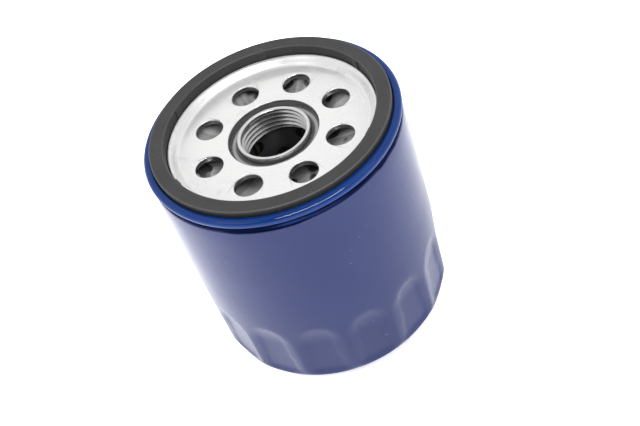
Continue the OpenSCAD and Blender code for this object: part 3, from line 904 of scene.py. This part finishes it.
# anti-drain valve
valve = dict(sleeveInner=12.0, sleeveOuter=13.3, sleeveFoot=63.6, sleeveTop=66.5, lipRadius=27.9, lipTop=70.3,
    neck=((0.15, 66.75), (0.5, 66.85)), shoulder=(14.9, 66.9), slope=(22.0, 2.7), skirt=(0.5, 1.1),
    lip=((0.0, 0.5), (0.05, 0.2), (0.3, 0.0), (0.7, 0.02), (1.1, 0.1)),
    back=((25.4, 0.75), (24.6, 0.8), (23.0, 1.3), (21.6, 1.75), (19.0, 2.4), (17.2, 2.85), (15.7, 3.0),
        (14.4, 3.0), (13.6, 2.9), (13.2, 2.65), (13.0, 2.4)),
    boreEdge=((0.15, 2.4), (0.0, 2.55)), grooveCount=3, firstGroove=66.4, grooveGap=0.9, grooveHalf=0.15,
    grooveDepth=0.12, count=144)


def makeValve():
    v = valve
    top = v["lipTop"]
    inner = v["sleeveInner"]
    outer = v["sleeveOuter"]
    lip = v["lipRadius"]
    slopeRadius, slopeDrop = v["slope"]
    inset, drop = v["skirt"]
    # up the sleeve and out along the umbrella's underside
    outline = [(inner + 0.1, v["sleeveFoot"]), (outer - 0.2, v["sleeveFoot"])]
    outline += [(outer, v["sleeveFoot"] + 0.2), (outer, v["sleeveTop"])]
    outline += [(outer + out, z) for out, z in v["neck"]] + [v["shoulder"]]
    outline += ease(*v["shoulder"], slopeRadius, top - slopeDrop, 6)[1:]
    outline += ease(slopeRadius, top - slopeDrop, lip - inset, top - drop, 5)[1:]
    # round the lip, back over the top and down the grooved bore
    outline += [(lip - inward, top - down) for inward, down in v["lip"]]
    outline += [(r, top - down) for r, down in v["back"]]
    outline += [(inner + out, top - down) for out, down in v["boreEdge"]]
    for i in range(v["grooveCount"]):
        z = v["firstGroove"] - i * v["grooveGap"]
        outline += [(inner, z + v["grooveHalf"]), (inner + v["grooveDepth"], z), (inner, z - v["grooveHalf"])]
    outline += [(inner, v["sleeveFoot"] + 0.2)]
    piece = turned("antiDrainValve", outline, v["count"])
    finishPiece(piece, "drain_valve", "anti_drain_valve", valveBlack, 50)


makeValve()
print("valve made")


# springs
loadSpring = dict(footRadius=24.0, topRadius=17.0, wire=1.8, turns=3.5, low=1.4, high=11.05, perTurn=32,
    sides=14)
bypassSpring = dict(radius=5.5, wire=1.0, turns=5.0, low=15.45, high=24.15, perTurn=28, sides=12)


def wireStart(radius, z, wire, sides):
    # the wire's section, standing upright at its place, left in edit mode
    clearSelection()
    bpy.ops.mesh.primitive_circle_add(vertices=sides, radius=wire / 2 * mm, location=(radius * mm, 0, z * mm),
        rotation=(pi / 2, 0, 0), fill_type="NGON")
    bpy.ops.object.transform_apply(location=True, rotation=True, scale=False)
    bpy.ops.object.mode_set(mode="EDIT")
    bpy.ops.mesh.select_all(action="SELECT")
    return bpy.context.object


def makeLoadSpring():
    s = loadSpring
    piece = wireStart(s["footRadius"], s["low"], s["wire"], s["sides"])
    total = int(s["turns"] * s["perTurn"])
    climb = total - s["perTurn"]
    turn = 2 * pi / s["perTurn"]
    shrink = (s["topRadius"] - s["footRadius"]) / total
    for i in range(1, total + 1):
        lift = (s["high"] - s["low"]) / climb if i > s["perTurn"] else 0
        before = turn * (i - 1)
        bpy.ops.mesh.extrude_region_move(TRANSFORM_OT_translate={
            "value": (shrink * cos(before) * mm, shrink * sin(before) * mm, lift * mm)})
        bpy.ops.transform.rotate(value=-turn, orient_axis="Z", center_override=(0, 0, 0))
    tidyMesh()
    piece.name = "loadSpring"
    finishPiece(piece, "housing", "load_spring", springMetal, 50)
    return piece


def makeBypassSpring():
    s = bypassSpring
    piece = wireStart(s["radius"], s["low"], s["wire"], s["sides"])
    total = int(s["turns"] * s["perTurn"])
    turn = 2 * pi / s["perTurn"]
    lift = (s["high"] - s["low"]) / total
    for i in range(total):
        bpy.ops.mesh.extrude_region_move(TRANSFORM_OT_translate={"value": (0, 0, lift * mm)})
        bpy.ops.transform.rotate(value=-turn, orient_axis="Z", center_override=(0, 0, 0))
    tidyMesh()
    piece.name = "bypassSpring"
    finishPiece(piece, "element", "bypass_spring", springMetal, 50)
    return piece


stackSpring = makeLoadSpring()
reliefSpring = makeBypassSpring()
print("springs made")


# CAD nodes that keep their shape
kept = dict(seam_compound=compound, open_end_cap=capMetal, open_end_adhesive=adhesive, pleated_media=paper,
    media_seam_clip=capMetal, centre_tube=tubeMetal, closed_end_adhesive=adhesive, closed_end_cap=capMetal,
    bypass_seat=capMetal, bypass_cage=capMetal, poppet_seal=sealBlack, bypass_poppet=nylon)
for nodeName, finish in kept.items():
    part = nodes[nodeName]
    part.data.materials.clear()
    part.data.materials.append(finish)
print("CAD nodes finished")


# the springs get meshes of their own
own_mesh(stackSpring)
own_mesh(reliefSpring)


# floor, light and camera, with lengths in metres but for the shot
studio = dict(floorSize=3.0, floorDrop=0.02 * mm, floorTones=((0.93, 0.93, 0.935), (0.95, 0.95, 0.95)),
    floorMottle=6.0, frontGlow=0.5, backGlow=1.0, glowRange=(-0.09, 0.07), behind=55, farGlow=1.5,
    farRise=(0.125, 0.19), farFall=(0.26, 0.34), world=1.45, darkWorld=0.22, darkAzimuth=-146,
    darkElevation=38, darkRange=(0.45, 0.82), lampAim=(0, 0, 0.05))
softboxes = dict(
    leftSoftbox=dict(location=(-0.44, 0.20, 0.53), size=(0.35, 0.35), power=0.8),
    rightSoftbox=dict(location=(-0.01, -0.48, 0.53), size=(0.35, 0.35), power=0.8),
    stripSoftbox=dict(location=(-0.36, -0.31, 0.51), size=(0.55, 0.13), power=9.0, glint=True))
shot = dict(aim=(-15.48, -15.21, 55.87), distance=306.2, azimuth=-146.46, elevation=44.58, roll=-21.2,
    lens=60.96, sensor=36, clipStart=0.01, clipEnd=10)


def directionTo(azimuth, elevation=0.0):
    # the unit vector at an azimuth and an elevation in degrees
    a = radians(azimuth)
    e = radians(elevation)
    return cos(a) * cos(e), sin(a) * cos(e), sin(e)


def makeFloor():
    clearSelection()
    bpy.ops.mesh.primitive_plane_add(size=studio["floorSize"], location=(0, 0, -studio["floorDrop"]))
    floor = bpy.context.object
    floor.name = "studioFloor"
    bpy.ops.object.transform_apply(location=True, rotation=False, scale=False)
    material, tree, shader, place = newFinish("paleFloor")
    tone = noiseNode(tree, place, studio["floorMottle"], 2.0)
    tree.links.new(blendColours(tree, tone, *studio["floorTones"]), shader.inputs["Base Color"])
    tree.links.new(rampNode(tree, tone, 0.3, 0.7, 0.75, 0.85), shader.inputs["Roughness"])
    # painted light: the floor glows, dimmer in front of the can, brighter behind it and in a ring further out
    shader.inputs["Emission Color"].default_value = (1.0, 1.0, 1.0, 1.0)
    across = addNode(tree, "VectorMath", operation="DOT_PRODUCT")
    across.inputs[1].default_value = directionTo(studio["behind"])
    tree.links.new(place, across.inputs[0])
    glow = rampNode(tree, across.outputs["Value"], *studio["glowRange"], studio["frontGlow"],
        studio["backGlow"])
    away = addNode(tree, "VectorMath", operation="LENGTH")
    tree.links.new(place, away.inputs[0])
    rising = rampNode(tree, away.outputs["Value"], *studio["farRise"], 0.0, studio["farGlow"])
    falling = rampNode(tree, away.outputs["Value"], *studio["farFall"], 1.0, 0.0)
    tree.links.new(plus(tree, glow, times(tree, rising, falling)), shader.inputs["Emission Strength"])
    floor.data.materials.append(material)


def addSoftbox(name, location, size, power, glint=False):
    # a glint box only draws highlights and throws no light on matt surfaces
    clearSelection()
    bpy.ops.object.light_add(type="AREA", location=location)
    lamp = bpy.context.object
    lamp.name = name
    lamp.data.shape = "RECTANGLE"
    lamp.data.size = size[0]
    lamp.data.size_y = size[1]
    lamp.data.energy = power
    aim = Vector(studio["lampAim"]) - Vector(location)
    lamp.rotation_mode = "QUATERNION"
    lamp.rotation_quaternion = aim.to_track_quat("-Z", "Y")
    lamp.visible_diffuse = not glint


def makeWorld():
    # white all round for the backdrop, with one darker side towards the camera for reflections
    world = bpy.data.worlds.new("softStudio")
    world.use_nodes = True
    tree = world.node_tree
    backdrop = tree.nodes["Background"]
    backdrop.inputs["Color"].default_value = (1.0, 1.0, 1.0, 1.0)
    place = tree.nodes.new("ShaderNodeTexCoord")
    facing = addNode(tree, "VectorMath", operation="DOT_PRODUCT")
    facing.inputs[1].default_value = directionTo(studio["darkAzimuth"], studio["darkElevation"])
    tree.links.new(place.outputs["Generated"], facing.inputs[0])
    lit = rampNode(tree, facing.outputs["Value"], *studio["darkRange"], studio["world"], studio["darkWorld"])
    direct = tree.nodes.new("ShaderNodeLightPath").outputs["Is Camera Ray"]
    tree.links.new(mathNode(tree, "MAXIMUM", direct, lit), backdrop.inputs["Strength"])
    bpy.context.scene.world = world
    bpy.context.scene.view_settings.view_transform = "Standard"


def makeCamera():
    back = Vector(directionTo(shot["azimuth"], shot["elevation"]))
    clearSelection()
    bpy.ops.object.camera_add(location=(Vector(shot["aim"]) + back * shot["distance"]) * mm)
    camera = bpy.context.object
    camera.rotation_mode = "QUATERNION"
    roll = Quaternion((0, 0, 1), radians(shot["roll"]))
    camera.rotation_quaternion = (-back).to_track_quat("-Z", "Y") @ roll
    camera.data.lens = shot["lens"]
    camera.data.sensor_width = shot["sensor"]
    camera.data.clip_start = shot["clipStart"]
    camera.data.clip_end = shot["clipEnd"]
    bpy.context.scene.camera = camera
    bpy.context.view_layer.update()


makeFloor()
makeWorld()
for boxName, box in softboxes.items():
    addSoftbox(boxName, **box)
makeCamera()
print("studio made")
